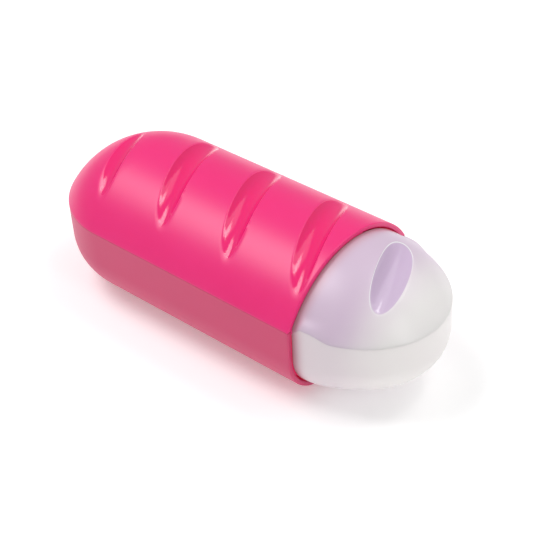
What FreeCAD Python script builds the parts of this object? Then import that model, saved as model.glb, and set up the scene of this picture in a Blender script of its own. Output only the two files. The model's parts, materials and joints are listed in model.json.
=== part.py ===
"""Compact derma roller with a pull-off cap, drawn in millimetres.

The pink handle is a hollow capsule: a flat bottom with rounded corners, upright side walls up to a
crease, and one circular arch over the top. It is moulded in two halves that meet at the crease. The
arch carries four slanted finger scoops. A collar plugs the mouth of the handle and holds a fork, and
the fork holds a drum of needle discs on an axle. A translucent cap, again in two halves, pulls off
along +X.

Frame: +X points along the handle to the nose of the cap, +Z points up, and the origin is the middle
of the underside's bounding box.
"""

import FreeCAD, Part
import math
import os
import re

import Sketcher

DIMENSIONS = {
    # handle capsule, outside
    "half_width": 22.0,
    "crease_height": 22.7,
    "top_height": 35.6,
    "corner_radius": 14.0,
    "shell_wall": 1.2,
    "barrel_length": 60.3,
    "rear_axis": -31.45,
    "tongue_depth": 1.2,
    "tongue_wall": 0.7,
    "tongue_gap": 0.05,
    # finger scoops
    "scoop_count": 4,
    "scoop_pitch": 20.25,
    "scoop_first": -43.5,
    "scoop_yaw": 18.0,
    "scoop_axis_drop": 8.0,
    "scoop_depth": 2.2,
    "scoop_width": 6.8,
    "scoop_heel": 3.9,
    "scoop_rise": 3.2,
    "cut_margin": 0.6,
    # cap capsule, outside
    "cap_half_width": 19.6,
    "cap_crease": 22.7,
    "cap_top": 34.1,
    "cap_floor": 3.3,
    "cap_corner": 11.0,
    "cap_wall": 1.4,
    "nose_offset": 5.0,
    "skirt_depth": 0.5,
    "thumb_yaw": 23.0,
    "thumb_lean": 24.0,
    "thumb_roll": 10.0,
    "thumb_station": 12.0,
    "thumb_height": 32.6,
    "thumb_depth": 2.0,
    "thumb_width": 7.6,
    "thumb_ring": 88.0,
    "thumb_heel": 3.6,
    "thumb_rise": 4.0,
    # collar in the mouth of the handle
    "flange_rear": 5.2,
    "flange_thick": 2.0,
    "flange_half_width": 20.7,
    "flange_floor": 1.3,
    "flange_corner": 12.7,
    "flange_step": 21.3,
    "spigot_half_width": 17.2,
    "spigot_floor": 5.2,
    "spigot_corner": 9.1,
    "spigot_crease": 22.0,
    "spigot_top": 31.2,
    "spigot_length": 4.0,
    "spigot_wall": 1.6,
    "rib_thick": 1.0,
    "rib_height": 1.6,
    "rib_gap": 0.1,
    "rib_top": 20.0,
    # grip ring around the spigot
    "ring_start": 1.2,
    "ring_width": 1.6,
    "ring_seat": 0.5,
    "ring_clearance": 0.15,
    # fork, axle and drum
    "axle_offset": 10.0,
    "axle_height": 16.2,
    "fork_base": 2.0,
    "fork_base_half_height": 6.9,
    "fork_base_half_width": 13.1,
    "arm_inside": 9.6,
    "arm_thick": 2.2,
    "arm_root": 6.5,
    "arm_eye": 4.2,
    "screw_across": 10.9,
    "screw_offset": 4.4,
    "screw_radius": 0.85,
    "screw_length": 6.0,
    "screw_head_radius": 1.8,
    "screw_head": 1.2,
    "screw_clearance": 0.1,
    "boss_radius": 2.1,
    "boss_length": 4.2,
    "pin_radius": 1.5,
    "bush_wall": 0.8,
    "bush_lip": 0.5,
    "bush_lip_radius": 3.1,
    "running_clearance": 0.05,
    "pin_cap_radius": 2.9,
    "pin_cap_thick": 1.2,
    "pin_cap_gap": 0.3,
    "core_radius": 6.2,
    "drum_half_width": 8.4,
    "drum_flange": 1.2,
    "drum_radius": 8.7,
    "disc_count": 9,
    "disc_thick": 0.25,
    "tooth_count": 60,
    "tooth_root": 8.5,
    "tooth_tip": 9.5,
    "tooth_base": 0.55,
}

doc = FreeCAD.newDocument("derma_roller")
sheet = doc.addObject("Spreadsheet::Sheet", "Sizes")
for row, (alias, value) in enumerate(DIMENSIONS.items(), start=1):
    sheet.set(f"A{row}", alias)
    sheet.set(f"B{row}", str(value))
    sheet.setAlias(f"B{row}", alias)
doc.recompute()


def refer(expression):
    """Write an expression on the sheet's aliases in the form that the document's objects read."""
    return re.sub(r"[a-z]+(?:_[a-z]+)+", lambda word: "Sizes." + word.group(), expression)


def size(expression):
    """Work an expression on the sheet's aliases out as a number."""
    return float(sheet.evalExpression(refer(expression)))


def origin_feature(body, role):
    """Find one of the body's own origin planes or axes."""
    return next(item for item in body.Origin.OriginFeatures if item.Role == role)


def new_body(name, label, along="0"):
    """Start a body whose own origin lies at a given station along the handle."""
    body = doc.addObject("PartDesign::Body", name)
    body.Label = label
    body.setExpression("Placement.Base.x", refer(along))
    return body


def edge_curve(start, end, centre, turn):
    """Make a sketch edge: a line, or an arc about a centre that turns anticlockwise (+1) or back."""
    if centre is None:
        return Part.LineSegment(FreeCAD.Vector(*start, 0), FreeCAD.Vector(*end, 0))
    circle = Part.Circle(FreeCAD.Vector(*centre, 0), FreeCAD.Vector(0, 0, 1), math.dist(start, centre))
    first, last = (start, end) if turn > 0 else (end, start)
    angles = [math.atan2(point[1] - centre[1], point[0] - centre[0]) for point in (first, last)]
    return Part.ArcOfCircle(circle, *angles)


def fix_coordinate(sketch, kind, edge, spot, expression):
    """Tie one coordinate of a sketch point to the sheet. A zero puts the point on the axis."""
    value = size(expression)
    if abs(value) < 1e-9:
        axis = -2 if kind == "DistanceX" else -1
        sketch.addConstraint(Sketcher.Constraint("PointOnObject", edge, spot, axis))
        return
    index = sketch.addConstraint(Sketcher.Constraint(kind, -1, 1, edge, spot, value))
    sketch.setExpression(f"Constraints[{index}]", refer(expression))


def draw(body, name, plane, corners, arcs=None, station=None):
    """Draw a closed outline on one of the body's own planes.

    corners lists (across, up) expressions. arcs gives, for an edge by number, the arc's centre, the
    centre coordinate that fixes it ("DistanceX" or "DistanceY") and the way that the arc turns.
    """
    sketch = body.newObject("Sketcher::SketchObject", name)
    sketch.AttachmentSupport = [(origin_feature(body, plane), "")]
    sketch.MapMode = "FlatFace"
    if station is not None:
        sketch.setExpression("AttachmentOffset.Base.z", refer(station))
    arcs = arcs or {}
    spots = [(size(across), size(up)) for across, up in corners]
    ends = []
    for index, start in enumerate(spots):
        end = spots[(index + 1) % len(spots)]
        centre, _, turn = arcs.get(index, (None, None, 1))
        middle = centre and (size(centre[0]), size(centre[1]))
        sketch.addGeometry(edge_curve(start, end, middle, turn), False)
        ends.append((1, 2) if turn > 0 else (2, 1))
    for index, (across, up) in enumerate(corners):
        before = index - 1 if index else len(corners) - 1
        joint = Sketcher.Constraint("Coincident", before, ends[before][1], index, ends[index][0])
        sketch.addConstraint(joint)
        fix_coordinate(sketch, "DistanceX", index, ends[index][0], across)
        fix_coordinate(sketch, "DistanceY", index, ends[index][0], up)
    for index, (centre, kind, _) in arcs.items():
        fix_coordinate(sketch, kind, index, 3, centre[0] if kind == "DistanceX" else centre[1])
    return sketch


def draw_circles(body, name, plane, radius, centres, station=None):
    """Draw equal circles, whose centres are (across, up) expressions, on a body's own plane."""
    sketch = body.newObject("Sketcher::SketchObject", name)
    sketch.AttachmentSupport = [(origin_feature(body, plane), "")]
    sketch.MapMode = "FlatFace"
    if station is not None:
        sketch.setExpression("AttachmentOffset.Base.z", refer(station))
    for index, (across, up) in enumerate(centres):
        middle = FreeCAD.Vector(size(across), size(up), 0)
        sketch.addGeometry(Part.Circle(middle, FreeCAD.Vector(0, 0, 1), size(radius)), False)
        number = sketch.addConstraint(Sketcher.Constraint("Radius", index, size(radius)))
        sketch.setExpression(f"Constraints[{number}]", refer(radius))
        fix_coordinate(sketch, "DistanceX", index, 3, across)
        fix_coordinate(sketch, "DistanceY", index, 3, up)
    return sketch


def pad(body, sketch, length, backward=False):
    """Push a sketch out along its normal."""
    feature = body.newObject("PartDesign::Pad", sketch.Name + "Pad")
    feature.Profile = sketch
    feature.setExpression("Length", refer(length))
    feature.Reversed = backward
    return feature


def pocket(body, sketch, length, backward=False):
    """Cut a sketch into the body, and make sure that it removed something."""
    doc.recompute()
    before = body.Shape.Volume
    feature = body.newObject("PartDesign::Pocket", sketch.Name + "Pocket")
    feature.Profile = sketch
    feature.setExpression("Length", refer(length))
    feature.Reversed = backward
    doc.recompute()
    if body.Shape.Volume > before - 1e-3:
        raise RuntimeError(f"{feature.Name} cuts nothing")
    return feature


def mirror(body, *features):
    """Repeat features on the other side of the body's middle plane."""
    copy = body.newObject("PartDesign::Mirrored", features[0].Name + "Mirror")
    copy.Originals = list(features)
    copy.MirrorPlane = (origin_feature(body, "XZ_Plane"), [""])
    body.Tip = copy
    return copy


def turn_end(body, sketch, rearward):
    """Turn a half section about its upright axis, which makes the capsule's round end."""
    feature = body.newObject("PartDesign::Revolution", sketch.Name + "End")
    feature.Profile = sketch
    feature.ReferenceAxis = (sketch, ["V_Axis"])
    feature.Angle = 180.0
    feature.Reversed = not rearward
    body.Tip = feature
    return feature


def capsule(name, label, outline, axis, length, rearward):
    """Make a capsule: a half section pushed along the handle, mirrored, and turned at one end."""
    body = new_body(name, label, axis)
    sketch = draw(body, name + "Section", "YZ_Plane", *outline)
    mirror(body, pad(body, sketch, length, backward=not rearward))
    turn_end(body, sketch, rearward)
    return body


# Outlines of half sections across the handle: across is +Y and up is +Z


def grouped(*expressions):
    """Put brackets round expressions, so that they can be pasted into a longer one."""
    return tuple(f"({expression})" for expression in expressions)


def arch_centre(half, crease, top):
    """Height of the centre of the arch that runs from (half, crease) over to (0, top)."""
    half, crease, top = grouped(half, crease, top)
    return f"(({top}^2 - {crease}^2 - {half}^2) / (2 * ({top} - {crease})))"


def corner_arc(half, floor, corner, turn=1):
    """Arc of a rounded bottom corner."""
    half, floor, corner = grouped(half, floor, corner)
    return ((f"{half} - {corner}", f"{floor} + {corner}"), "DistanceY", turn)


def arch_arc(half, crease, top, turn=1):
    """Arc of the arch, whose centre is on the middle plane."""
    return (("0", arch_centre(half, crease, top)), "DistanceX", turn)


def whole_outline(half, floor, corner, crease, top):
    """Half section of a solid capsule."""
    half, floor, corner, crease, top = grouped(half, floor, corner, crease, top)
    corners = [
        ("0", floor),
        (f"{half} - {corner}", floor),
        (half, f"{floor} + {corner}"),
        (half, crease),
        ("0", top),
    ]
    return corners, {1: corner_arc(half, floor, corner), 3: arch_arc(half, crease, top)}


def band_outline(outer, inner):
    """Half section of a closed band between two capsule outlines."""
    corners = whole_outline(*outer)[0] + whole_outline(*inner)[0][::-1]
    arcs = {
        1: corner_arc(*outer[:3]),
        3: arch_arc(outer[0], *outer[3:]),
        5: arch_arc(inner[0], *inner[3:], turn=-1),
        7: corner_arc(*inner[:3], turn=-1),
    }
    return corners, arcs


def trough_outline(half, floor, corner, crease, wall):
    """Half section of the wall below the crease: floor, round corner and upright side."""
    half, floor, corner, crease, wall = grouped(half, floor, corner, crease, wall)
    inside = f"{half} - {wall}"
    corners = [
        ("0", floor),
        (f"{half} - {corner}", floor),
        (half, f"{floor} + {corner}"),
        (half, crease),
        (inside, crease),
        (inside, f"{floor} + {corner}"),
        (f"{half} - {corner}", f"{floor} + {wall}"),
        ("0", f"{floor} + {wall}"),
    ]
    return corners, {1: corner_arc(half, floor, corner), 5: corner_arc(half, floor, corner, turn=-1)}


def inner_arch(half, crease, top, wall, across):
    """Height of the arch's inner face at a distance across from the middle plane."""
    centre = arch_centre(half, crease, top)
    top, wall, across = grouped(top, wall, across)
    return f"({centre} + sqrt(({top} - {wall} - {centre})^2 - {across}^2))"


def inner_reach(half, crease, top, wall, height):
    """Distance of the arch's inner face from the middle plane at a height."""
    centre = arch_centre(half, crease, top)
    top, wall, height = grouped(top, wall, height)
    return f"sqrt(({top} - {wall} - {centre})^2 - ({height} - {centre})^2)"


# Finger scoops: a closed outline turned about a level axis far below it, so that the cut is deepest
# on the crown and runs out on both sides


def scoop_outline(skin, depth, width, heel, rise, wall):
    """Scoop across the skin: a concave ramp down from the rear lip, then an arc up to the front one."""
    level, foot = grouped(f"{skin} - {wall}", f"{width} - {heel}")
    ramp = f"(({foot} + {wall})^2 + {depth}^2) / (2 * {depth})"
    corners = [
        (f"0 - {wall}", f"{level} + {rise}"),
        (f"0 - {wall}", level),
        (foot, f"{level} - {depth}"),
        (f"{width} + {wall}", f"{level} - {depth} + {heel} + {wall}"),
        (f"{width} + {wall}", f"{level} + {rise}"),
    ]
    arcs = {
        1: ((foot, f"{level} - {depth} + {ramp}"), "DistanceX", 1),
        2: ((foot, f"{level} - {depth} + {heel} + {wall}"), "DistanceX", 1),
    }
    return corners, arcs


def cut_ring(body, sketch):
    """Cut the full turn of an outline about the sketch's level axis out of a body."""
    doc.recompute()
    before = body.Shape.Volume
    groove = body.newObject("PartDesign::Groove", sketch.Name + "Cut")
    groove.Profile = sketch
    groove.ReferenceAxis = (sketch, ["H_Axis"])
    groove.Angle = 360.0
    body.Tip = groove
    doc.recompute()
    if body.Shape.Volume > before - 1e-3:
        raise RuntimeError(f"{groove.Name} cuts nothing")
    return groove


def cut_finger_scoops(body, wall="0"):
    """Cut the row of slanted scoops into the handle's arch, or their inner faces into its core."""
    outline = scoop_outline("top_height + scoop_axis_drop", "scoop_depth", "scoop_width",
                            "scoop_heel", "scoop_rise", wall)
    sketch = draw(body, body.Name + "Scoop", "XZ_Plane", *outline)
    sketch.setExpression("AttachmentOffset.Base.x", refer("scoop_first - rear_axis"))
    sketch.setExpression("AttachmentOffset.Base.y", refer("0 - scoop_axis_drop"))
    turn = FreeCAD.Rotation(FreeCAD.Vector(0, 1, 0), size("scoop_yaw"))
    sketch.AttachmentOffset = FreeCAD.Placement(sketch.AttachmentOffset.Base, turn)
    groove = cut_ring(body, sketch)
    row = body.newObject("PartDesign::LinearPattern", body.Name + "ScoopRow")
    row.Originals = [groove]
    row.Direction = (origin_feature(body, "X_Axis"), [""])
    row.setExpression("Length", refer("scoop_pitch * (scoop_count - 1)"))
    row.setExpression("Occurrences", refer("scoop_count"))
    body.Tip = row


def cut_thumb_scoop(body, wall="0"):
    """Cut the one scoop into the cap's nose, leaning with the surface."""
    outline = scoop_outline("thumb_ring", "thumb_depth", "thumb_width", "thumb_heel", "thumb_rise", wall)
    sketch = draw(body, body.Name + "Scoop", "XZ_Plane", *outline)
    upright = FreeCAD.Rotation(FreeCAD.Vector(1, 0, 0), 90)
    lean = FreeCAD.Rotation(size("thumb_yaw"), size("thumb_lean"), size("thumb_roll"))
    middle = FreeCAD.Vector(size("thumb_station - nose_offset"), 0, size("thumb_height"))
    middle = middle - lean.multVec(FreeCAD.Vector(size("thumb_width / 2"), 0, size("thumb_ring")))
    offset = FreeCAD.Placement(upright.inverted().multVec(middle),
                               upright.inverted().multiply(lean).multiply(upright))
    sketch.AttachmentOffset = offset
    cut_ring(body, sketch)


def cut(name, label, base, tool):
    """Take one shape out of another."""
    feature = doc.addObject("Part::Cut", name)
    feature.Label = label
    feature.Base = base
    feature.Tool = tool
    return feature


# Handle shells

HANDLE = ("half_width", "crease_height", "top_height")
MOUTH = "rear_axis + barrel_length"
NOSE = "rear_axis + barrel_length + nose_offset"


def make_upper_shell():
    """Arched half of the handle, with a tongue that laps inside the lower half."""
    seat = "crease_height - tongue_depth"
    tongue = "half_width - shell_wall - tongue_gap"
    outside = [("0", seat), (tongue, seat), (tongue, "crease_height"), HANDLE[:2], ("0", "top_height")]
    form = capsule("UpperForm", "upper_form", (outside, {3: arch_arc(*HANDLE)}),
                   "rear_axis", "barrel_length", rearward=True)
    cut_finger_scoops(form)
    lining = "half_width - shell_wall - tongue_gap - tongue_wall"
    below = "crease_height - tongue_depth - cut_margin"
    shoulder = inner_arch(*HANDLE, "shell_wall", lining)
    inside = [("0", below), (lining, below), (lining, shoulder), ("0", "top_height - shell_wall")]
    centre = (("0", arch_centre(*HANDLE)), "DistanceX", 1)
    core = capsule("UpperCore", "upper_core", (inside, {2: centre}),
                   "rear_axis", "barrel_length + cut_margin", rearward=True)
    cut_finger_scoops(core, "shell_wall")
    return cut("UpperShell", "upper_shell", form, core)


def make_lower_shell():
    """Flat-bottomed half of the handle, with two ribs that hold the collar's flange."""
    outline = trough_outline("half_width", "0", "corner_radius", "crease_height", "shell_wall")
    body = capsule("LowerShell", "lower_shell", outline, "rear_axis", "barrel_length", rearward=True)
    inside = "half_width - shell_wall"
    crest = "half_width - shell_wall - rib_height"
    ring = "half_width - corner_radius"
    rib = [
        ("0", "shell_wall"),
        (ring, "shell_wall"),
        (inside, "corner_radius"),
        (inside, "rib_top"),
        (crest, "rib_top"),
        (crest, "corner_radius"),
        (ring, "shell_wall + rib_height"),
        ("0", "shell_wall + rib_height"),
    ]
    arcs = {1: ((ring, "corner_radius"), "DistanceY", 1), 5: ((ring, "corner_radius"), "DistanceY", -1)}
    stations = {
        "RearRib": "barrel_length - flange_rear - rib_gap - rib_thick",
        "FrontRib": "barrel_length - flange_rear + flange_thick + rib_gap",
    }
    for name, station in stations.items():
        sketch = draw(body, name, "YZ_Plane", rib, arcs, station)
        mirror(body, pad(body, sketch, "rib_thick"))
    return body


# Collar and grip ring

SPIGOT = ("spigot_half_width", "spigot_floor", "spigot_corner", "spigot_crease", "spigot_top")


def inset(outline, amount):
    """Move a capsule outline inwards by an amount all round."""
    half, floor, corner, crease, top, amount = grouped(*outline, amount)
    return (f"{half} - {amount}", f"{floor} + {amount}", f"{corner} - {amount}", crease,
            f"{top} - {amount}")


def make_collar():
    """Bulkhead that plugs the handle's mouth, and the hollow spigot that the cap slides over."""
    body = new_body("Collar", "collar", MOUTH)
    reach = inner_reach(SPIGOT[0], *SPIGOT[3:], "0", "flange_step")
    flange = [
        ("0", "flange_floor"),
        ("flange_half_width - flange_corner", "flange_floor"),
        ("flange_half_width", "flange_floor + flange_corner"),
        ("flange_half_width", "flange_step"),
        (reach, "flange_step"),
        ("0", "spigot_top"),
    ]
    arcs = {
        1: corner_arc("flange_half_width", "flange_floor", "flange_corner"),
        4: arch_arc(SPIGOT[0], *SPIGOT[3:]),
    }
    plate = pad(body, draw(body, "Flange", "YZ_Plane", flange, arcs, "0 - flange_rear"), "flange_thick")
    mirror(body, plate)
    spigot = draw(body, "Spigot", "YZ_Plane", *whole_outline(*SPIGOT), "0 - flange_rear")
    mirror(body, pad(body, spigot, "flange_rear + spigot_length"))
    bore = draw(body, "SpigotBore", "YZ_Plane", *whole_outline(*inset(SPIGOT, "spigot_wall")),
                "spigot_length")
    mirror(body, pocket(body, bore, "spigot_length + flange_rear - flange_thick"))
    loose = inset(SPIGOT, "0 - cut_margin")
    seat = draw(body, "RingSeat", "YZ_Plane", *band_outline(loose, inset(SPIGOT, "ring_seat")),
                "ring_start + ring_width")
    mirror(body, pocket(body, seat, "ring_width"))
    holes = draw_circles(body, "ScrewHoles", "YZ_Plane", "screw_radius + screw_clearance",
                         screw_places(), "flange_thick - flange_rear")
    pocket(body, holes, "flange_thick")
    return body


def make_grip_ring():
    """Soft ring in the spigot's seat, which the cap's mouth rubs on."""
    body = new_body("GripRing", "grip_ring", MOUTH)
    lining = inner_reach("cap_half_width", "cap_crease", "cap_top", "cap_wall", "cap_crease")
    outer = (
        f"{lining} - ring_clearance",
        "cap_floor + cap_wall + ring_clearance",
        "cap_corner - cap_wall - ring_clearance",
        "cap_crease",
        "cap_top - cap_wall - ring_clearance",
    )
    sketch = draw(body, "Ring", "YZ_Plane", *band_outline(outer, inset(SPIGOT, "ring_seat")), "ring_start")
    mirror(body, pad(body, sketch, "ring_width"))
    return body


# Fork and its fasteners


def screw_places():
    """Centres of the four fork screws, across and up."""
    return [(f"0 {side} screw_across", f"axle_height {rise} screw_offset") for side in "+-" for rise in "+-"]


def make_fork():
    """Fork that carries the axle: a base on the collar's bulkhead, two arms and four screw bosses."""
    body = new_body("Fork", "fork", MOUTH)
    rear = "flange_thick - flange_rear"
    low = "axle_height - fork_base_half_height"
    high = "axle_height + fork_base_half_height"
    base = [("0", low), ("fork_base_half_width", low), ("fork_base_half_width", high), ("0", high)]
    mirror(body, pad(body, draw(body, "ForkBase", "YZ_Plane", base, station=rear), "fork_base"))
    arm = [
        (rear, "axle_height - arm_root"),
        ("axle_offset", "axle_height - arm_eye"),
        ("axle_offset", "axle_height + arm_eye"),
        (rear, "axle_height + arm_root"),
    ]
    eye = {1: (("axle_offset", "axle_height"), "DistanceX", 1)}
    side = draw(body, "Arm", "XZ_Plane", arm, eye, "0 - arm_inside - arm_thick")
    mirror(body, pad(body, side, "arm_thick"))
    bosses = draw_circles(body, "Bosses", "YZ_Plane", "boss_radius", screw_places(), rear)
    pad(body, bosses, "boss_length")
    pilots = draw_circles(body, "Pilots", "YZ_Plane", "screw_radius + screw_clearance",
                          screw_places(), f"{rear} + boss_length")
    pocket(body, pilots, "boss_length")
    journal = draw_circles(body, "Journal", "XZ_Plane", "pin_radius + running_clearance + bush_wall",
                           [("axle_offset", "axle_height")], "0 - arm_inside - arm_thick - cut_margin")
    pocket(body, journal, "2 * (arm_inside + arm_thick + cut_margin)", backward=True)
    return body


def rod(name, radius, length):
    """Plain cylinder bound to the sheet, standing on its own origin."""
    feature = doc.addObject("Part::Cylinder", name)
    feature.setExpression("Radius", refer(radius))
    feature.setExpression("Height", refer(length))
    return feature


def place(feature, along, across, up, rotation=FreeCAD.Rotation()):
    """Turn a feature and tie its place to the sheet."""
    feature.Placement = FreeCAD.Placement(FreeCAD.Vector(), rotation)
    for axis, expression in zip("xyz", (along, across, up)):
        feature.setExpression(f"Placement.Base.{axis}", refer(expression))
    return feature


ALONG_X = FreeCAD.Rotation(FreeCAD.Vector(0, 1, 0), 90)
ALONG_Y = FreeCAD.Rotation(FreeCAD.Vector(1, 0, 0), -90)
AXLE = f"{MOUTH} + axle_offset"


def make_fork_screws():
    """Four pan-head screws, put in from inside the handle, as one group of separate solids."""
    screws = []
    for index, (across, up) in enumerate(screw_places()):
        shank = rod(f"Shank{index}", "screw_radius", "screw_length")
        head = rod(f"Head{index}", "screw_head_radius", "screw_head")
        head.setExpression("Placement.Base.z", refer("0 - screw_head"))
        screw = doc.addObject("Part::Fuse", f"Screw{index}")
        screw.Base = shank
        screw.Tool = head
        screws.append(place(screw, f"{MOUTH} - flange_rear", across, up, ALONG_X))
    group = doc.addObject("Part::Compound", "ForkScrews")
    group.Label = "fork_screws"
    group.Links = screws
    return group


def on_axle(feature, start):
    """Turn a feature's length along the axle and put its near end at a distance from the middle."""
    return place(feature, AXLE, start, "axle_height", ALONG_Y)


def tube(name, label, outer, inner, length, start):
    """Ring around the axle."""
    skin = rod(name + "Skin", outer, length)
    bore = rod(name + "Bore", inner, length)
    return on_axle(cut(name, label, skin, bore), start)


def make_bush(name, label, side):
    """Flanged bush pressed into one arm's eye, with its lip on the arm's inner face."""
    bore = "pin_radius + running_clearance"
    sleeve = rod(name + "Sleeve", f"{bore} + bush_wall", "arm_thick + bush_lip")
    lip = rod(name + "Lip", "bush_lip_radius", "bush_lip")
    if side < 0:
        lip.setExpression("Placement.Base.z", refer("arm_thick"))
    blank = doc.addObject("Part::Fuse", name + "Blank")
    blank.Base = sleeve
    blank.Tool = lip
    feature = cut(name, label, blank, rod(name + "Bore", bore, "arm_thick + bush_lip"))
    start = "0 - arm_inside - arm_thick" if side < 0 else "arm_inside - bush_lip"
    return on_axle(feature, start)


# Drum


def star_outline():
    """Needle disc's outline in words: a root circle with evenly spaced triangular teeth."""
    half = math.asin(size("tooth_base / 2 / tooth_root"))
    points = []
    for index in range(int(size("tooth_count"))):
        middle = 2 * math.pi * index / size("tooth_count")
        for angle, radius in ((-half, "tooth_root"), (0, "tooth_tip"), (half, "tooth_root")):
            reach = size(radius)
            points.append(FreeCAD.Vector(reach * math.cos(middle + angle), reach * math.sin(middle + angle)))
    return Part.makePolygon(points + points[:1])


def make_needle_disc(number, start):
    """One stamped steel disc with its ring of short needles and a bore for the core."""
    bore = Part.Face(Part.Wire(Part.makeCircle(size("core_radius"))))
    plate = Part.Face(star_outline()).cut(bore).extrude(FreeCAD.Vector(0, 0, size("disc_thick")))
    feature = doc.addObject("Part::Feature", f"NeedleDisc{number}")
    feature.Label = f"needle_disc_{number}"
    feature.Shape = plate
    return on_axle(feature, start)


def make_drum():
    """Core tube with two flanges, and the stack of needle discs and spacer rings between them."""
    pieces = [
        tube("DrumCore", "drum_core", "core_radius", "pin_radius", "2 * drum_half_width",
             "0 - drum_half_width"),
        tube("FlangeNear", "drum_flange_near", "drum_radius", "core_radius", "drum_flange",
             "0 - drum_half_width"),
        tube("FlangeFar", "drum_flange_far", "drum_radius", "core_radius", "drum_flange",
             "drum_half_width - drum_flange"),
    ]
    room = "(2 * (drum_half_width - drum_flange) - disc_count * disc_thick)"
    spacer = f"({room} / (disc_count + 1))"
    stack = "drum_flange - drum_half_width"
    discs = int(size("disc_count"))
    for number in range(1, discs + 2):
        start = f"{stack} + {number - 1} * ({spacer} + disc_thick)"
        pieces.append(tube(f"Spacer{number}", f"spacer_ring_{number}", "drum_radius", "core_radius",
                           spacer, start))
        if number <= discs:
            pieces.append(make_needle_disc(number, f"{start} + {spacer}"))
    return pieces


def make_axle():
    """Pin through the drum, and the two press-on end caps that keep it in the fork."""
    cap_start = "arm_inside + arm_thick + pin_cap_gap"
    reach = f"({cap_start} + pin_cap_thick)"
    pin = rod("AxlePin", "pin_radius", f"2 * {reach}")
    pin.Label = "axle_pin"
    near = tube("AxleCapNear", "axle_cap_near", "pin_cap_radius", "pin_radius", "pin_cap_thick",
                f"0 - {reach}")
    far = tube("AxleCapFar", "axle_cap_far", "pin_cap_radius", "pin_radius", "pin_cap_thick", cap_start)
    return [on_axle(pin, f"0 - {reach}"), near, far]


# Cap

CAP = ("cap_half_width", "cap_crease", "cap_top")
SKIRT = "nose_offset + skirt_depth"


def make_cap_dome():
    """Arched half of the cap with the thumb scoop in its nose."""
    outside = [("0", "cap_crease"), CAP[:2], ("0", "cap_top")]
    form = capsule("DomeForm", "dome_form", (outside, {1: arch_arc(*CAP)}), NOSE, SKIRT, rearward=False)
    cut_thumb_scoop(form)
    below = "cap_crease - cut_margin"
    reach = inner_reach(*CAP, "cap_wall", below)
    inside = [("0", below), (reach, below), ("0", "cap_top - cap_wall")]
    centre = (("0", arch_centre(*CAP)), "DistanceX", 1)
    core = capsule("DomeCore", "dome_core", (inside, {1: centre}), NOSE, f"{SKIRT} + cut_margin",
                   rearward=False)
    cut_thumb_scoop(core, "cap_wall")
    return cut("CapDome", "cap_dome", form, core)


def make_cap_tray():
    """Lower half of the cap."""
    outline = trough_outline("cap_half_width", "cap_floor", "cap_corner", "cap_crease", "cap_wall")
    return capsule("CapTray", "cap_tray", outline, NOSE, SKIRT, rearward=False)


def export(pieces):
    """Check every object of the document and every piece, then write one STEP file per piece."""
    doc.recompute()
    for item in doc.Objects:
        if {"Invalid", "Error"} & set(item.State):
            raise RuntimeError(f"{item.Name} did not compute: {item.State}")
    for piece in pieces:
        if piece.Shape.isNull() or not piece.Shape.isValid():
            raise RuntimeError(f"{piece.Label} has no valid shape")
    os.makedirs("parts", exist_ok=True)
    for piece in pieces:
        piece.Shape.exportStep(os.path.join("parts", piece.Label + ".step"))
        box = piece.Shape.BoundBox
        print(f"{piece.Label:18s} solids {len(piece.Shape.Solids)}  volume {piece.Shape.Volume:9.2f}"
              f"  x {box.XMin:7.2f} {box.XMax:7.2f}  y {box.YMin:7.2f} {box.YMax:7.2f}"
              f"  z {box.ZMin:6.2f} {box.ZMax:6.2f}")


export([
    make_upper_shell(),
    make_lower_shell(),
    make_collar(),
    make_grip_ring(),
    make_fork(),
    make_fork_screws(),
    make_bush("BushNear", "bush_near", -1),
    make_bush("BushFar", "bush_far", 1),
    *make_axle(),
    *make_drum(),
    make_cap_dome(),
    make_cap_tray(),
])
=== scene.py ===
# %% [markdown]
# # A capsule derma roller in Blender
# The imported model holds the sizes, the moving bodies and the hidden parts. This lesson adds the looks:
# smooth shells for the handle and the cap, a finish for every part, a white table and studio light.
# The frame comes first, because every new piece takes its place and its size from it.

# %% Load the frame
import json
import math

import bmesh
import bpy
import numpy as np
from mathutils import Matrix, Vector


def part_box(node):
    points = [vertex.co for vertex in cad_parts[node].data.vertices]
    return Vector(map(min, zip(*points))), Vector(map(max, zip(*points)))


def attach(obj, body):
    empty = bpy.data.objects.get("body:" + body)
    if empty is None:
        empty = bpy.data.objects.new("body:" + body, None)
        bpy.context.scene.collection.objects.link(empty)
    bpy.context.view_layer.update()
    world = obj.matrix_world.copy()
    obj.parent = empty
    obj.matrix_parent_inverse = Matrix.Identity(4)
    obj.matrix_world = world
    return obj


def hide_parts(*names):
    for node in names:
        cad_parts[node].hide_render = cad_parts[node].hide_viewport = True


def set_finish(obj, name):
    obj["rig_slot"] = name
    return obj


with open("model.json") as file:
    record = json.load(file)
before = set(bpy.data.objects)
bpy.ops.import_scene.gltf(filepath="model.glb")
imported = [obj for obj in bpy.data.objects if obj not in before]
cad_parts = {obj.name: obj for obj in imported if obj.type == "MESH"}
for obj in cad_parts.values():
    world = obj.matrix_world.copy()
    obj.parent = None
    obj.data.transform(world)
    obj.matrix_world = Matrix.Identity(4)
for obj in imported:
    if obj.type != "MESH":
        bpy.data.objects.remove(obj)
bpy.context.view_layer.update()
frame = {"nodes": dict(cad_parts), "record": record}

MM = 0.001
SAME_POINT = 1e-6

# %% [markdown]
# The handle and the cap are both capsules cut off at a mouth. Each is known by a few sizes: how far its
# sides stand from the middle, the height of the crease where the side wall ends, the height of the
# crown, and the stations of its mouth and of its round end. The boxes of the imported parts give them, so
# the new shells follow the model. The handle's end is half a circle in plan. The cap's nose is half an
# ellipse, which starts at the handle's mouth and nearly fills it. The smooth cap is a little wider than
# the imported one, and its floor and its crease lie a little lower.


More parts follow.
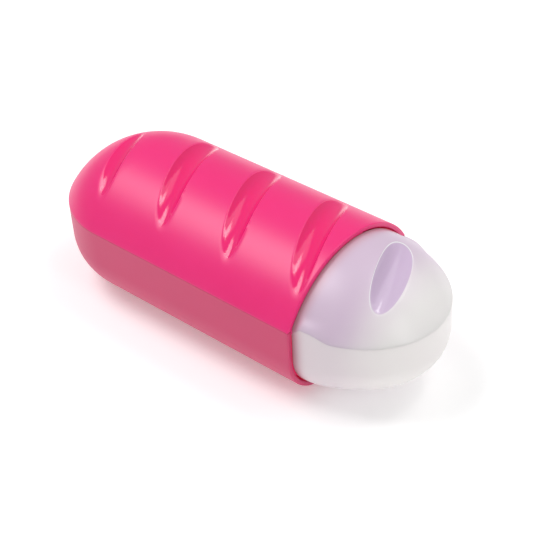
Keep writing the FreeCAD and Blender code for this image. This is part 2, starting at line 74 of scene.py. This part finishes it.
# %% Read the sizes
def capsule_sizes(arched, trough):
    """Sizes of a capsule in millimetres, from the boxes of its arched half and its lower half."""
    arch_high = np.array(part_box(arched)[1]) / MM
    base_low, base_high = (np.array(corner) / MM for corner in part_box(trough))
    opens_forward = base_low[0] < 0
    mouth, end = (base_high[0], base_low[0]) if opens_forward else (base_low[0], base_high[0])
    half = base_high[1]
    return {
        "half": half,
        "floor": base_low[2],
        "crease": base_high[2],
        "top": arch_high[2],
        "mouth": mouth,
        "end": end,
        "axis": end + half if opens_forward else end - half,
        "way": 1 if opens_forward else -1,
    }


handle = capsule_sizes("upper_shell", "lower_shell")
cap = capsule_sizes("cap_dome", "cap_tray")
CAP_HALF = 20.4
NOSE_START = 0.6
FLOOR_DROP = 1.5
CREASE_DROP = 0.4
handle.update(corner=14.0, wall=1.2, fillet=0.9, lip=0.3)
cap.update(half=CAP_HALF, axis=handle["mouth"] + NOSE_START, corner=12.2, wall=1.4, fillet=0.8, lip=0.35)
cap["floor"] -= FLOOR_DROP
cap["crease"] -= CREASE_DROP
print("handle", {name: round(float(value), 2) for name, value in handle.items()})
print("cap", {name: round(float(value), 2) for name, value in cap.items()})

# %% [markdown]
# A section line is drawn in the plane across the capsule: distance from the middle, and height. It
# starts at the middle of the outer skin, runs round the rim of the wall, and comes back to the middle on
# the inside. Arcs are sampled by length, so the mesh is as fine on a small fillet as it needs to be.


# %% Draw lines and arcs in the section
CHAMFER = 0.08


def arc_points(centre, radius, start, stop, step):
    """Points at centre + radius (cos a, sin a), with a running from start to stop in equal steps."""
    count = max(3, math.ceil(abs(stop - start) * radius / step))
    angle = np.linspace(start, stop, count + 1)
    return np.column_stack([centre[0] + radius * np.cos(angle), centre[1] + radius * np.sin(angle)])


def line_points(start, end, step):
    """Evenly spaced points from start to end, both included."""
    count = max(1, math.ceil(math.dist(start, end) / step))
    share = np.linspace(0, 1, count + 1)[:, None]
    return np.array(start) * (1 - share) + np.array(end) * share


def join_runs(*runs):
    """One line through several runs of points, with repeated points dropped."""
    line = np.vstack(runs)
    moved = np.linalg.norm(np.diff(line, axis=0), axis=1) > SAME_POINT
    return line[np.concatenate([[True], moved])]


def arch_height(half, crease, top):
    """Height of the centre of the circle through (half, crease) and (0, top)."""
    return (top**2 - crease**2 - half**2) / (2 * (top - crease))


def outer_arch(size, step):
    """Crown, arch and softened crease: a smaller arch, pushed outwards by the fillet's radius."""
    fillet = size["fillet"]
    half = size["half"] - fillet
    centre = arch_height(half, size["crease"], size["top"] - fillet)
    turn = math.atan2(size["crease"] - centre, half)
    bend = arc_points((0, centre), size["top"] - centre, math.pi / 2, turn, step)
    edge = arc_points((half, size["crease"]), fillet, turn, 0, step / 4)
    return np.vstack([bend, edge])


def inner_arch(size, step, reach):
    """Inner face of the arch, from a distance from the middle up to the crown."""
    centre = arch_height(size["half"], size["crease"], size["top"])
    radius = size["top"] - size["wall"] - centre
    return arc_points((0, centre), radius, math.acos(reach / radius), math.pi / 2, step)


def trough_line(size, step):
    """Floor, round corner, side wall and rim of a lower half, out and back."""
    half, floor, corner, wall = size["half"], size["floor"], size["corner"], size["wall"]
    foot, knee = half - corner, floor + corner
    side = [(half, knee), (half, size["crease"] - CHAMFER), (half - CHAMFER, size["crease"])]
    inside = [(half - wall, size["crease"]), (half - wall, knee)]
    return join_runs(
        line_points((0, floor), (foot, floor), 4 * step),
        arc_points((foot, knee), corner, -math.pi / 2, 0, step),
        line_points(side[0], side[1], 2 * step),
        line_points(side[1], side[2], 1),
        line_points(side[2], inside[0], 1),
        line_points(inside[0], inside[1], 2 * step),
        arc_points((foot, knee), corner - wall, 0, -math.pi / 2, 2 * step),
        line_points((foot, floor + wall), (0, floor + wall), 4 * step),
    )


print("arch line has", len(outer_arch(handle, 0.4)), "points")

# %% [markdown]
# A scoop is what a turning cutter leaves: a ring with a hollow profile, sunk into the skin so that it
# bites deepest at the crown and runs out on both sides. The same formula serves the four finger scoops
# and the thumb scoop. A point that lies inside the ring is pressed back to the ring's own surface, along
# the ring's radius. A soft maximum rounds the lip where the scoop meets the skin.


# %% Press a scoop into a skin
def turned(yaw, lean=0.0, roll=0.0):
    """Rotation matrix that rolls about X, leans about Y and then yaws about Z, in degrees."""
    yaw, lean, roll = (math.radians(angle) for angle in (yaw, lean, roll))
    tipped = Matrix.Rotation(lean, 3, "Y") @ Matrix.Rotation(roll, 3, "X")
    return np.array(Matrix.Rotation(yaw, 3, "Z") @ tipped)


def groove_depth(across, scoop, wall):
    """Depth at a distance across the scoop: two arcs that meet at the floor, plus a steep run-out."""
    run_out_slope = 3
    low, depth, half = scoop["floor_at"], scoop["depth"], scoop["width"] / 2
    reach = np.where(across < low, half + low, half - low)
    radius = (reach**2 + depth**2) / (2 * depth) + wall
    offset = np.abs(across - low)
    bowl = np.sqrt(np.maximum(radius**2 - offset**2, 0))
    return depth - radius + bowl - run_out_slope * np.maximum(offset - radius, 0)


def press_scoop(points, scoop, wall):
    """Move points that lie inside the scoop's ring back onto it. Also gives how far each one was inside.

    In the ring's own axes, inside = distance from the ring's axis - (ring radius - depth at this place).
    """
    local = (points - scoop["crown"]) @ scoop["turn"]
    across, along, up = local[..., 0], local[..., 1], local[..., 2] + scoop["ring"]
    distance = np.hypot(along, up)
    inside = distance - (scoop["ring"] - wall - groove_depth(across, scoop, wall))
    lip = scoop["lip"]
    shift = np.maximum(inside, 0) + np.maximum(lip - np.abs(inside), 0) ** 2 / (4 * lip)
    away = np.stack([np.zeros_like(along), along / distance, up / distance], axis=-1)
    return points - (shift[..., None] * away) @ scoop["turn"].T, inside


FINGER_COUNT = 4
FINGER_PITCH = 20.25
FIRST_FINGER = -40.05
finger_scoops = [
    {
        "crown": np.array([FIRST_FINGER + FINGER_PITCH * number, 0, handle["top"]]),
        "turn": turned(18.0),
        "ring": handle["top"] + 8.0,
        "depth": 2.2,
        "width": 6.4,
        "floor_at": 0.5,
        "lip": 0.4,
    }
    for number in range(FINGER_COUNT)
]
thumb_scoop = {
    "crown": np.array([cap["end"] - 13.0, 1.6, 32.6]),
    "turn": turned(23.0, 24.0, 6.8),
    "ring": 100.0,
    "depth": 2.45,
    "width": 8.6,
    "floor_at": 0.2,
    "lip": 0.35,
}
print("scoops at", [round(float(scoop["crown"][0]), 2) for scoop in finger_scoops])

# %% [markdown]
# A shell is its section line carried round the capsule: along the near side, round the blunt end and
# back along the far side. The columns of the grid bend with the scoops, so that a lip runs along a
# column and stays crisp without a very fine mesh. At the mouth the last columns shrink the section a
# little, which rounds the rim.


# %% Carry a section round the capsule
def inset_directions(line):
    """Direction at each point that leads into the wall, lengthened at corners so that walls stay even.

    The wall lies to the left of a line that runs anticlockwise, which the sign of its area tells.
    """
    ahead = np.roll(line, -1, axis=0)
    turning = np.sign((line[:, 0] * ahead[:, 1] - ahead[:, 0] * line[:, 1]).sum())
    edge = np.diff(line, axis=0)
    edge /= np.linalg.norm(edge, axis=1)[:, None]
    normal = turning * np.column_stack([-edge[:, 1], edge[:, 0]])
    before, after = np.vstack([normal[:1], normal]), np.vstack([normal, normal[-1:]])
    middle = before + after
    middle /= np.linalg.norm(middle, axis=1)[:, None]
    inset = middle / np.maximum((middle * after).sum(1), 0.5)[:, None]
    inset[[0, -1], 0] = 0
    return inset


def plain_stations(size, step):
    """Stations from the mouth's rounding to the capsule's axis, the same at every distance across."""
    start = size["mouth"] - size["way"] * size["lip"]
    count = max(2, math.ceil(abs(start - size["axis"]) / step))
    row = np.linspace(start, size["axis"], count + 1)
    return lambda across: np.broadcast_to(row, (len(across), len(row)))


def scoop_stations(size, scoops, step):
    """Stations that follow the lips and floors of the scoops, for each distance across.

    Knots lie at each scoop's lips, a little to both sides of them, and at its floor. They keep to the
    scoop's slant and to its width at that distance, and the columns are spread evenly between knots.
    """
    start = size["mouth"] - size["lip"]
    slant = scoops[0]["turn"][1, 0] / scoops[0]["turn"][0, 0]
    run_out = 16.0
    soft = 0.5
    least_share = 0.03
    lip_columns = 6

    def knots(across):
        slid = np.clip(across, -run_out, run_out)
        share = np.sqrt(np.clip(1 - (across / (run_out + 1.0)) ** 2, least_share, 1))
        rows = [np.full(len(across), start)]
        for scoop in scoops[::-1]:
            half = scoop["width"] / 2 / scoop["turn"][0, 0]
            middle = scoop["crown"][0] - slant * slid
            low = scoop["floor_at"]
            for reach in (half + soft, half - soft, low, soft - half, -half - soft):
                rows.append(middle + reach * share)
        rows.append(np.full(len(across), size["axis"]))
        return np.array(rows)

    spread = knots(np.zeros(1))[:, 0]
    counts = [max(3, math.ceil(gap / step)) for gap in -np.diff(spread)]
    knots_per_scoop = (len(spread) - 2) // len(scoops)
    for front_lip in range(1, len(counts), knots_per_scoop):
        rear_lip = front_lip + knots_per_scoop - 2
        counts[front_lip] = counts[rear_lip] = lip_columns

    def stations(across):
        rows = knots(np.asarray(across, float))
        runs = [rows[0][:, None]]
        for gap, count in enumerate(counts):
            share = np.linspace(0, 1, count + 1)[1:]
            runs.append(rows[gap][:, None] * (1 - share) + rows[gap + 1][:, None] * share)
        return np.hstack(runs)

    return stations


def sweep_capsule(line, size, stations, turns):
    """Grid of points: rows follow the section line, and columns run mouth, near side, end, far side."""
    rim_columns = 5
    inset = inset_directions(line)
    quarter = np.linspace(0, math.pi / 2, rim_columns + 1)[:-1]
    rim_x = size["mouth"] - size["way"] * size["lip"] * (1 - np.cos(quarter))
    rim_inset = size["lip"] * (1 - np.sin(quarter))
    angle = np.linspace(0, math.pi, turns + 1)[1:-1]

    across = line[:, 0]
    rims = line[:, None, :] + inset[:, None, :] * rim_inset[None, :, None]
    sides = []
    for side in (-1, 1):
        body = stations(side * across)
        along = np.hstack([np.broadcast_to(rim_x, rims.shape[:2]), body])
        out = np.hstack([rims[..., 0], np.broadcast_to(across[:, None], body.shape)])
        height = np.hstack([rims[..., 1], np.broadcast_to(line[:, 1:], body.shape)])
        sides.append(np.stack([along, side * out, height], axis=-1))
    stretch = abs(size["end"] - size["axis"]) / size["half"]
    end = np.stack([
        size["axis"] - size["way"] * stretch * across[:, None] * np.sin(angle),
        -across[:, None] * np.cos(angle),
        np.broadcast_to(line[:, 1:], (len(line), len(angle))),
    ], axis=-1)
    return np.concatenate([sides[0], end, sides[1][:, ::-1]], axis=1)


# The first finger scoop lies on the round end, so the stations follow the other three.
upper_stations = scoop_stations(handle, finger_scoops[1:], 0.55)
print("columns along the side", upper_stations(np.zeros(1)).shape[1])

# %% [markdown]
# The grid becomes a mesh in one call. The two sides of the grid share the ridge line and the pole of the
# round end, so those doubles are merged. The open loop at the mouth is a narrow band, and it is closed
# with triangles that keep inside the band, so that the mouth itself stays open. The signed volume tells
# whether the faces point outwards.


# %% Turn a grid into a closed mesh
MERGE_DISTANCE = 1e-6
CRISP_ANGLE = math.radians(40.0)


def grid_faces(rows, columns):
    """Corner numbers of the quads of a grid, row by row."""
    first = np.arange(rows - 1)[:, None] * columns + np.arange(columns - 1)
    return np.stack([first, first + columns, first + columns + 1, first + 1], axis=-1).reshape(-1, 4)


def signed_volume(mesh):
    """Sum over the triangles of a . (b x c) / 6."""
    mesh.calc_loop_triangles()
    corners = np.empty(len(mesh.loop_triangles) * 3, int)
    mesh.loop_triangles.foreach_get("vertices", corners)
    spots = np.empty(len(mesh.vertices) * 3)
    mesh.vertices.foreach_get("co", spots)
    a, b, c = spots.reshape(-1, 3)[corners.reshape(-1, 3)].transpose(1, 0, 2)
    return float((a * np.cross(b, c)).sum() / 6)


def close_mesh(mesh):
    """Merge doubles, close the mouth, and point the faces outwards."""
    work = bmesh.new()
    work.from_mesh(mesh)
    bmesh.ops.remove_doubles(work, verts=work.verts, dist=MERGE_DISTANCE)
    bmesh.ops.dissolve_degenerate(work, edges=work.edges, dist=MERGE_DISTANCE)
    rim = [edge for edge in work.edges if edge.is_boundary]
    bmesh.ops.triangle_fill(work, edges=rim, use_beauty=True)
    work.to_mesh(mesh)
    if signed_volume(mesh) < 0:
        bmesh.ops.reverse_faces(work, faces=work.faces)
        work.to_mesh(mesh)
    work.free()


def add_piece(name, points, body, slot, stands_for, masks=None):
    """Make a named piece out of a grid in millimetres, and tie it to its body and to its CAD nodes."""
    rows, columns = points.shape[:2]
    mesh = bpy.data.meshes.new(name)
    mesh.from_pydata((points.reshape(-1, 3) * MM).tolist(), [], grid_faces(rows, columns).tolist())
    for label, values in (masks or {}).items():
        layer = mesh.attributes.new(label, "FLOAT", "POINT")
        layer.data.foreach_set("value", values.ravel().astype(np.float32))
    close_mesh(mesh)
    mesh.polygons.foreach_set("use_smooth", np.ones(len(mesh.polygons), bool))
    mesh.set_sharp_from_angle(angle=CRISP_ANGLE)
    piece = bpy.data.objects.new(name, mesh)
    bpy.context.scene.collection.objects.link(piece)
    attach(piece, body)
    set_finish(piece, slot)
    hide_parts(*stands_for)
    print(name, len(mesh.vertices), "points", round(signed_volume(mesh) / MM**3), "cubic millimetres")
    return piece


# %% [markdown]
# The handle's upper half has a tongue that laps inside the lower half. It shows as a small step on the
# inside of the rim, so the section line has it.


# %% Make the handle's two shells
def upper_line(size, step):
    """Outer arch, parting face, tongue and inner arch of the handle's upper half."""
    half, crease, wall = size["half"], size["crease"], size["wall"]
    tongue, depth, gap = 0.2, 1.2, 0.05
    outside, inside = half - wall - gap, half - wall - gap - tongue
    outer = outer_arch(size, step)
    inner = inner_arch(size, step * 1.5, inside)
    foot = (inside, crease - depth)
    corners = np.array([(half - CHAMFER, crease), (outside, crease), (outside, crease - depth), foot])
    path = [np.array([outer[-1] + (0, CHAMFER)]), corners, line_points(foot, inner[0], 1)]
    outer = outer[:-1][outer[:-1, 1] > crease + CHAMFER]
    return join_runs(outer, *path, inner), len(outer)


def press_all(points, scoops, outer_rows, wall):
    """Press every scoop into the outer rows, and its widened copy into the inner rows."""
    mask = np.full(points.shape[:2], -1.0)
    for scoop in scoops:
        outer, inside = press_scoop(points[:outer_rows], scoop, 0.0)
        inner, _ = press_scoop(points[outer_rows:], scoop, wall)
        points = np.concatenate([outer, inner])
        mask[:outer_rows] = np.maximum(mask[:outer_rows], inside)
    return points, mask


END_COLUMNS = 150
line, outer_rows = upper_line(handle, 0.4)
points = sweep_capsule(line, handle, upper_stations, END_COLUMNS)
points, pressed = press_all(points, finger_scoops, outer_rows, handle["wall"])
upper_skin = add_piece("upper_shell_skin", points, "handle", "grip_arch", ["upper_shell"],
                       {"pressed": pressed})

points = sweep_capsule(trough_line(handle, 0.5), handle, plain_stations(handle, 1.0), END_COLUMNS)
lower_skin = add_piece("lower_shell_skin", points, "handle", "grip_base", ["lower_shell"])

# %% [markdown]
# The cap is the same kind of capsule, turned round: its mouth faces the handle. Its crease climbs a
# little just past the rim, and its floor climbs towards the nose. Both could be cut with planes, but a
# smooth shift of heights keeps the wall even and leaves no edge.


# %% Make the cap's two shells
def dome_line(size, step):
    """Outer arch, parting face and inner arch of the cap's upper half."""
    centre = arch_height(size["half"], size["crease"], size["top"])
    radius = size["top"] - size["wall"] - centre
    reach = math.sqrt(radius**2 - (size["crease"] - centre) ** 2)
    outer = outer_arch(size, step)
    return join_runs(outer, inner_arch(size, step * 1.5, reach)), len(outer)


def ease(value, low, high):
    """Smooth step from 0 at low to 1 at high: t^2 (3 - 2 t)."""
    share = np.clip((value - low) / (high - low), 0, 1)
    return share * share * (3 - 2 * share)


def shape_cap(points):
    """Raise the crease just past the rim, and the floor towards the nose.

    The crease's rise grows and fades along the cap and with the height above or below the crease. The
    floor's rise is full at the floor and nil at the crease.
    """
    crease_rise, crease_reach = 1.4, 4.2
    floor_rise, floor_run = 1.7, 12.0
    along, height = points[..., 0] - cap["axis"], points[..., 2]
    keel = floor_rise * ease(along, 0, floor_run)
    depth = np.clip((cap["crease"] - height) / (cap["crease"] - cap["floor"]), 0, 1)
    rise = crease_rise * ease(along, 9.0, 3.5) * ease(along, -0.4, 1.6)
    near = 1 - ease(np.abs(height - cap["crease"]), 0, crease_reach)
    shaped = points.copy()
    shaped[..., 2] += rise * near + keel * depth
    return shaped


NOSE_COLUMNS = 210
line, outer_rows = dome_line(cap, 0.3)
points = shape_cap(sweep_capsule(line, cap, plain_stations(cap, 0.3), NOSE_COLUMNS))
points, pressed = press_all(points, [thumb_scoop], outer_rows, cap["wall"])
dome_skin = add_piece("cap_dome_skin", points, "cap", "cap_clear", ["cap_dome"], {"pressed": pressed})

points = shape_cap(sweep_capsule(trough_line(cap, 0.5), cap, plain_stations(cap, 0.6), NOSE_COLUMNS))
tray_skin = add_piece("cap_tray_skin", points, "cap", "cap_milky", ["cap_tray"])

# %% [markdown]
# Shader maths reads best as sums. A Wire holds one socket, and the operators add the Math nodes. A
# Finish holds one material and has a single method that adds any other node.


# %% Wrap shader sockets
class Wire:
    """One output socket of a shader node that takes part in Python sums."""

    def __init__(self, finish, socket):
        self.finish = finish
        self.socket = socket

    def maths(self, operation, first, second):
        """Add one Math node. Either value may be a number or a Wire."""
        return self.finish.node("Math", {"operation": operation}, {0: first, 1: second})

    def __add__(self, other):
        return self.maths("ADD", self, other)

    __radd__ = __add__

    def __rsub__(self, other):
        return self.maths("SUBTRACT", other, self)

    def __mul__(self, other):
        return self.maths("MULTIPLY", self, other)

    __rmul__ = __mul__


class Finish:
    """A material under construction, with its Principled shader."""

    def __init__(self, name):
        self.material = bpy.data.materials.new(name)
        self.material.use_nodes = True
        self.tree = self.material.node_tree
        self.shader = self.tree.nodes["Principled BSDF"]
        self.place = self.node("TexCoord", output="Object")

    def node(self, kind, settings=None, inputs=None, output=0):
        """Add a node: its settings are set first, then its sockets get values or links."""
        made = self.tree.nodes.new("ShaderNode" + kind)
        for name, value in (settings or {}).items():
            setattr(made, name, value)
        for key, value in (inputs or {}).items():
            if isinstance(value, Wire):
                self.tree.links.new(value.socket, made.inputs[key])
            else:
                made.inputs[key].default_value = value
        return Wire(self, made.outputs[output])

    def noise(self, size_mm, detail, stretch=(1, 1, 1)):
        """Cloudy value from 0 to 1, with features of about the given size."""
        scale = tuple(1 / (size_mm * MM * part) for part in stretch)
        spot = self.node("Mapping", {}, {"Vector": self.place, "Scale": scale})
        return self.node("TexNoise", {}, {"Vector": spot, "Scale": 1.0, "Detail": detail})

    def ramp(self, value, low, high, start=0.0, end=1.0):
        """Smooth step of a value from start, at low, to end, at high."""
        inputs = {"Value": value, "From Min": low, "From Max": high, "To Min": start, "To Max": end}
        return self.node("MapRange", {"interpolation_type": "SMOOTHSTEP"}, inputs)

    def tint(self, first, second, factor):
        """Mix of two colours."""
        inputs = {0: factor, 6: first, 7: second}
        return self.node("Mix", {"data_type": "RGBA"}, inputs, output=2)

    def axis(self, letter):
        """One coordinate of the piece, in metres."""
        return self.node("SeparateXYZ", {}, {0: self.place}, output=letter)

    def attribute(self, name):
        """A value stored on the mesh."""
        return self.node("Attribute", {"attribute_name": name}, output="Fac")

    def bump(self, height, depth_mm, strength):
        """Surface relief of the given depth."""
        inputs = {"Height": height, "Distance": depth_mm * MM, "Strength": strength}
        return self.node("Bump", {}, inputs, output="Normal")

    def set(self, **values):
        """Set or link sockets of the Principled shader. Underscores stand for spaces."""
        for name, value in values.items():
            socket = self.shader.inputs[name.replace("_", " ")]
            if isinstance(value, Wire):
                self.tree.links.new(value.socket, socket)
            else:
                socket.default_value = value
        return self.material


def colour(red, green, blue):
    """Colour with full opacity, from linear light values."""
    return (red, green, blue, 1.0)


print("shader helpers ready")

# %% [markdown]
# The handle is moulded in a hot pink plastic. The mould is spark-eroded, so the skin is satin, and only
# the scoops are polished. The shells were told which points were pressed, and the finish reads that.


# %% Pink handle plastic
def pink_plastic(name, first, second, skin_roughness, polished):
    """Satin pink of two cloudy tones. Pressed places are glossier and a little deeper in colour."""
    scoop_pink = colour(0.86, 0.018, 0.17)
    scoop_roughness, scoop_tint = 0.10, 0.7
    grain_strength = 0.25 if polished else 0.35
    finish = Finish(name)
    cloud = finish.noise(14, 2)
    grain = finish.noise(0.22, 2)
    scuff = finish.ramp(finish.noise(1.6, 4, (9, 1, 1)), 0.62, 0.75)
    base = finish.tint(colour(*first), colour(*second), cloud)
    rough = skin_roughness + 0.05 * cloud + 0.05 * scuff
    if polished:
        gloss = finish.ramp(finish.attribute("pressed"), -0.05, 0.25)
        rough = rough * (1 - gloss) + (scoop_roughness + 0.03 * cloud) * gloss
        base = finish.tint(base, scoop_pink, gloss * scoop_tint)
    relief = finish.bump(grain, 0.012, grain_strength)
    return finish.set(Base_Color=base, Roughness=rough, Normal=relief, IOR=1.5, Subsurface_Weight=0.15,
                      Subsurface_Radius=(1.0, 0.2, 0.4), Subsurface_Scale=0.0015)


ARCH_PINKS = (0.86, 0.020, 0.190), (0.90, 0.026, 0.210)
# The lower shell's pinks are darker and greyer than the arch's: painted shade on its upright side wall,
# with a painted pale reflection of the white table.
SHADED_BASE_PINKS = (0.62, 0.038, 0.142), (0.66, 0.045, 0.157)
finishes = {
    "grip_arch": pink_plastic("pink_satin_arch", *ARCH_PINKS, skin_roughness=0.34, polished=True),
    "grip_base": pink_plastic("pink_satin_base_painted_shade", *SHADED_BASE_PINKS, skin_roughness=0.40, polished=False),
}
print("handle finishes", sorted(finishes))

# %% [markdown]
# The cap is a frosted plastic, lavender above the crease and whiter below it and at the nose. Frosting
# could be done with light that passes through the wall, but that is slow and grainy. A pale base colour
# with scatter under the skin and a slightly open Alpha gives the same milk. Beside the handle the wall is
# painted pink, a painted glow of the handle's light. The thumb scoop is polished, with a painted
# highlight along its lip.


# %% Frosted cap plastic
def frosted_plastic(name, near, far, opacity, skin_roughness, polished):
    """Milky plastic that turns from one tone to another towards the nose."""
    painted_pink_light = colour(0.62, 0.36, 0.43)
    scoop_lilac = colour(0.65, 0.50, 0.70)
    painted_lip_highlight = colour(0.95, 0.95, 0.97)
    scoop_roughness, scoop_tint, painted_pink_strength = 0.07, 0.85, 0.8
    finish = Finish(name)
    cloud = finish.noise(9, 2)
    grain = finish.noise(0.3, 2)
    along = finish.axis("X")
    nose = finish.ramp(along + 0.003 * cloud, (cap["end"] - 15.0) * MM, (cap["end"] - 2.0) * MM)
    base = finish.tint(near, far, nose)
    # Painted light: within a few millimetres of the handle's mouth the base turns pink, a painted glow of
    # the pink handle.
    mouth = finish.ramp(along, (handle["mouth"] + 4.5) * MM, handle["mouth"] * MM)
    base = finish.tint(base, painted_pink_light, mouth * mouth * painted_pink_strength)
    rough = skin_roughness + 0.06 * cloud
    if polished:
        pressed = finish.attribute("pressed")
        gloss = finish.ramp(pressed, -0.05, 0.2)
        rough = rough * (1 - gloss) + scoop_roughness * gloss
        base = finish.tint(base, scoop_lilac, gloss * scoop_tint)
        # Painted highlight: a pale band along the thumb scoop's lip, stronger away from the nose.
        edge = finish.ramp(pressed, -0.16, -0.03) * finish.ramp(pressed, 0.12, -0.01)
        lip_highlight_fade = finish.ramp(along, (cap["end"] - 9.0) * MM, (cap["end"] - 13.5) * MM, 0.15, 0.95)
        base = finish.tint(base, painted_lip_highlight, edge * lip_highlight_fade)
    relief = finish.bump(grain, 0.01, 0.3)
    return finish.set(Base_Color=base, Roughness=rough, Normal=relief, IOR=1.49, Alpha=opacity,
                      Subsurface_Weight=0.25, Subsurface_Radius=(1.0, 0.9, 1.0), Subsurface_Scale=0.002)


DOME_TONES = colour(0.70, 0.56, 0.70), colour(0.91, 0.88, 0.87)
TRAY_TONES = colour(0.78, 0.70, 0.74), colour(0.88, 0.84, 0.83)
finishes["cap_clear"] = frosted_plastic("cap_frosted_dome", *DOME_TONES, opacity=0.93,
                                        skin_roughness=0.30, polished=True)
finishes["cap_milky"] = frosted_plastic("cap_frosted_tray", *TRAY_TONES, opacity=0.97,
                                        skin_roughness=0.30, polished=False)
print("cap finishes", finishes["cap_clear"].name, finishes["cap_milky"].name)

# %% [markdown]
# The working end is made of small moulded and turned parts. Plain plastics share one recipe, with its
# own colour and gloss, and the metals share another.


# %% Head, drum and metal finishes
def moulded_plastic(name, tone, roughness, grain_mm=0.25, painted_glow=0.0):
    """Plain moulded plastic, a little cloudy, with a fine grain, and an optional painted glow."""
    finish = Finish(name)
    cloud = finish.noise(5, 3)
    grain = finish.noise(grain_mm, 2)
    dark = colour(*(0.86 * part for part in tone))
    base = finish.tint(dark, colour(*tone), cloud)
    relief = finish.bump(grain, 0.01, 0.4)
    return finish.set(Base_Color=base, Roughness=roughness + 0.08 * cloud, IOR=1.49, Normal=relief,
                      Emission_Color=colour(*tone), Emission_Strength=painted_glow)


def turned_metal(name, tone, roughness):
    """Bright metal with fine lines left by the tool."""
    finish = Finish(name)
    lines = finish.noise(0.12, 2, (8, 1, 1))
    cloud = finish.noise(2.5, 3)
    base = finish.tint(colour(*(0.8 * part for part in tone)), colour(*tone), cloud)
    return finish.set(Base_Color=base, Metallic=1.0, Roughness=roughness + 0.12 * lines,
                      Normal=finish.bump(lines, 0.004, 0.4))


# The collar's emission is painted light: the collar glows so that the shade in the gap inside the
# handle's rim does not turn black.
finishes["collar_plastic"] = moulded_plastic("collar_pink_painted_glow", (0.72, 0.035, 0.15), 0.38, painted_glow=0.5)
finishes["head_plastic"] = moulded_plastic("head_lavender", (0.42, 0.25, 0.58), 0.32)
finishes["drum_plastic"] = moulded_plastic("drum_lavender", (0.55, 0.38, 0.68), 0.30)
finishes["bush_plastic"] = moulded_plastic("bush_white", (0.78, 0.78, 0.75), 0.40)
finishes["seal_rubber"] = moulded_plastic("ring_rubber", (0.40, 0.36, 0.42), 0.62, 0.12)
finishes["pin_steel"] = turned_metal("ground_pin_steel", (0.66, 0.66, 0.67), 0.18)
finishes["screw_steel"] = turned_metal("plated_screw_steel", (0.60, 0.60, 0.58), 0.26)
finishes["needle_steel"] = turned_metal("etched_needle_steel", (0.74, 0.74, 0.75), 0.20)

# %% [markdown]
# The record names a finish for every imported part, and the four new shells carry theirs as a property.
# Reading both keeps the list of parts in one place.


# %% Give every part its finish
for row in frame["record"]["subparts"]:
    slots = frame["nodes"][row["node"]].data.materials
    slots.clear()
    slots.append(finishes[row["material_slot"]])
for piece in (upper_skin, lower_skin, dome_skin, tray_skin):
    piece.data.materials.append(finishes[piece["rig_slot"]])
print("finishes", sorted(finishes))

# %% [markdown]
# The table is a plain white sheet. The lights are soft boxes. A strong key hangs high over the handle's
# round end and draws the broad highlight on the shoulder. A weak box lights the far side from above. A
# strip beyond the nose and a small bright box high at the back show up in the polished scoops.


# %% Set the table and the lights
def add_box_light(name, towards, distance, width, height, radiance):
    """Area light that faces the object. Its power is radiance x area x pi."""
    lamp = bpy.data.lights.new(name, "AREA")
    lamp.shape = "RECTANGLE"
    lamp.size, lamp.size_y = width, height
    lamp.energy = radiance * width * height * math.pi
    box = bpy.data.objects.new(name, lamp)
    middle = Vector((0, 0, 0.02))
    direction = Vector(towards)
    place = direction.normalized() * distance + middle
    aim = direction.to_track_quat("Z", "Y").to_matrix().to_4x4()
    box.matrix_world = Matrix.Translation(place) @ aim
    bpy.context.scene.collection.objects.link(box)


TABLE_REACH = 2
table_corners = [(TABLE_REACH * x, TABLE_REACH * y, 0) for x, y in ((-1, -1), (1, -1), (1, 1), (-1, 1))]
table_mesh = bpy.data.meshes.new("table")
table_mesh.from_pydata(table_corners, [], [(0, 1, 2, 3)])
table = bpy.data.objects.new("table", table_mesh)
bpy.context.scene.collection.objects.link(table)
paper = Finish("white_paper")
white = colour(1.0, 1.0, 1.0)
fibre = paper.tint(colour(0.90, 0.90, 0.90), colour(0.93, 0.93, 0.93), paper.noise(2.0, 3))
table_mesh.materials.append(paper.set(Base_Color=fibre, Roughness=0.9, Specular_IOR_Level=0.1,
                                      Emission_Color=white, Emission_Strength=0.25))

WORLD_STRENGTH = 0.38
world = bpy.data.worlds.new("studio")
world.use_nodes = True
backdrop = world.node_tree.nodes["Background"]
backdrop.inputs["Color"].default_value = white
backdrop.inputs["Strength"].default_value = WORLD_STRENGTH
bpy.context.scene.world = world
add_box_light("key_box", (-0.45, -0.19, 0.87), distance=0.8, width=0.42, height=0.42, radiance=5.9)
add_box_light("top_box", (0.25, 0.5, 0.85), distance=0.9, width=0.6, height=0.6, radiance=1.2)
add_box_light("strip_box", (0.88, -0.1, 0.5), distance=0.8, width=0.16, height=0.5, radiance=3.5)
add_box_light("spark_box", (0.27, 0.37, 0.89), distance=0.8, width=0.20, height=0.20, radiance=6.0)
bpy.context.scene.view_settings.view_transform = "Standard"

# %% [markdown]
# The camera looks down on the near side from the nose end. A long lens keeps the capsule's sides close
# to parallel. The place is given by two angles and a distance, which are easy to change.


# %% Place the camera
def add_camera(target, distance, azimuth, elevation, roll, lens):
    """Camera on a sphere round the target. At azimuth 0 it looks along +Y."""
    azimuth, elevation, roll = (math.radians(angle) for angle in (azimuth, elevation, roll))
    back = Vector((math.sin(azimuth) * math.cos(elevation), -math.cos(azimuth) * math.cos(elevation),
                   math.sin(elevation)))
    right = Vector((math.cos(azimuth), math.sin(azimuth), 0))
    up = back.cross(right)
    level = Matrix((right, up, back)).transposed()
    optics = bpy.data.cameras.new("camera")
    optics.lens = lens
    optics.sensor_width = 36.0
    optics.clip_start = 0.01
    camera = bpy.data.objects.new("camera", optics)
    turn = (level @ Matrix.Rotation(roll, 3, "Z")).to_4x4()
    camera.matrix_world = Matrix.Translation(target + back * distance) @ turn
    bpy.context.scene.collection.objects.link(camera)
    bpy.context.scene.camera = camera


target = Vector((4.03, 0, 15.45)) * MM
add_camera(target, 321.8 * MM, azimuth=42.04, elevation=38.88, roll=-3.352, lens=90.54)
print("camera at", [round(value, 3) for value in bpy.context.scene.camera.matrix_world.translation])
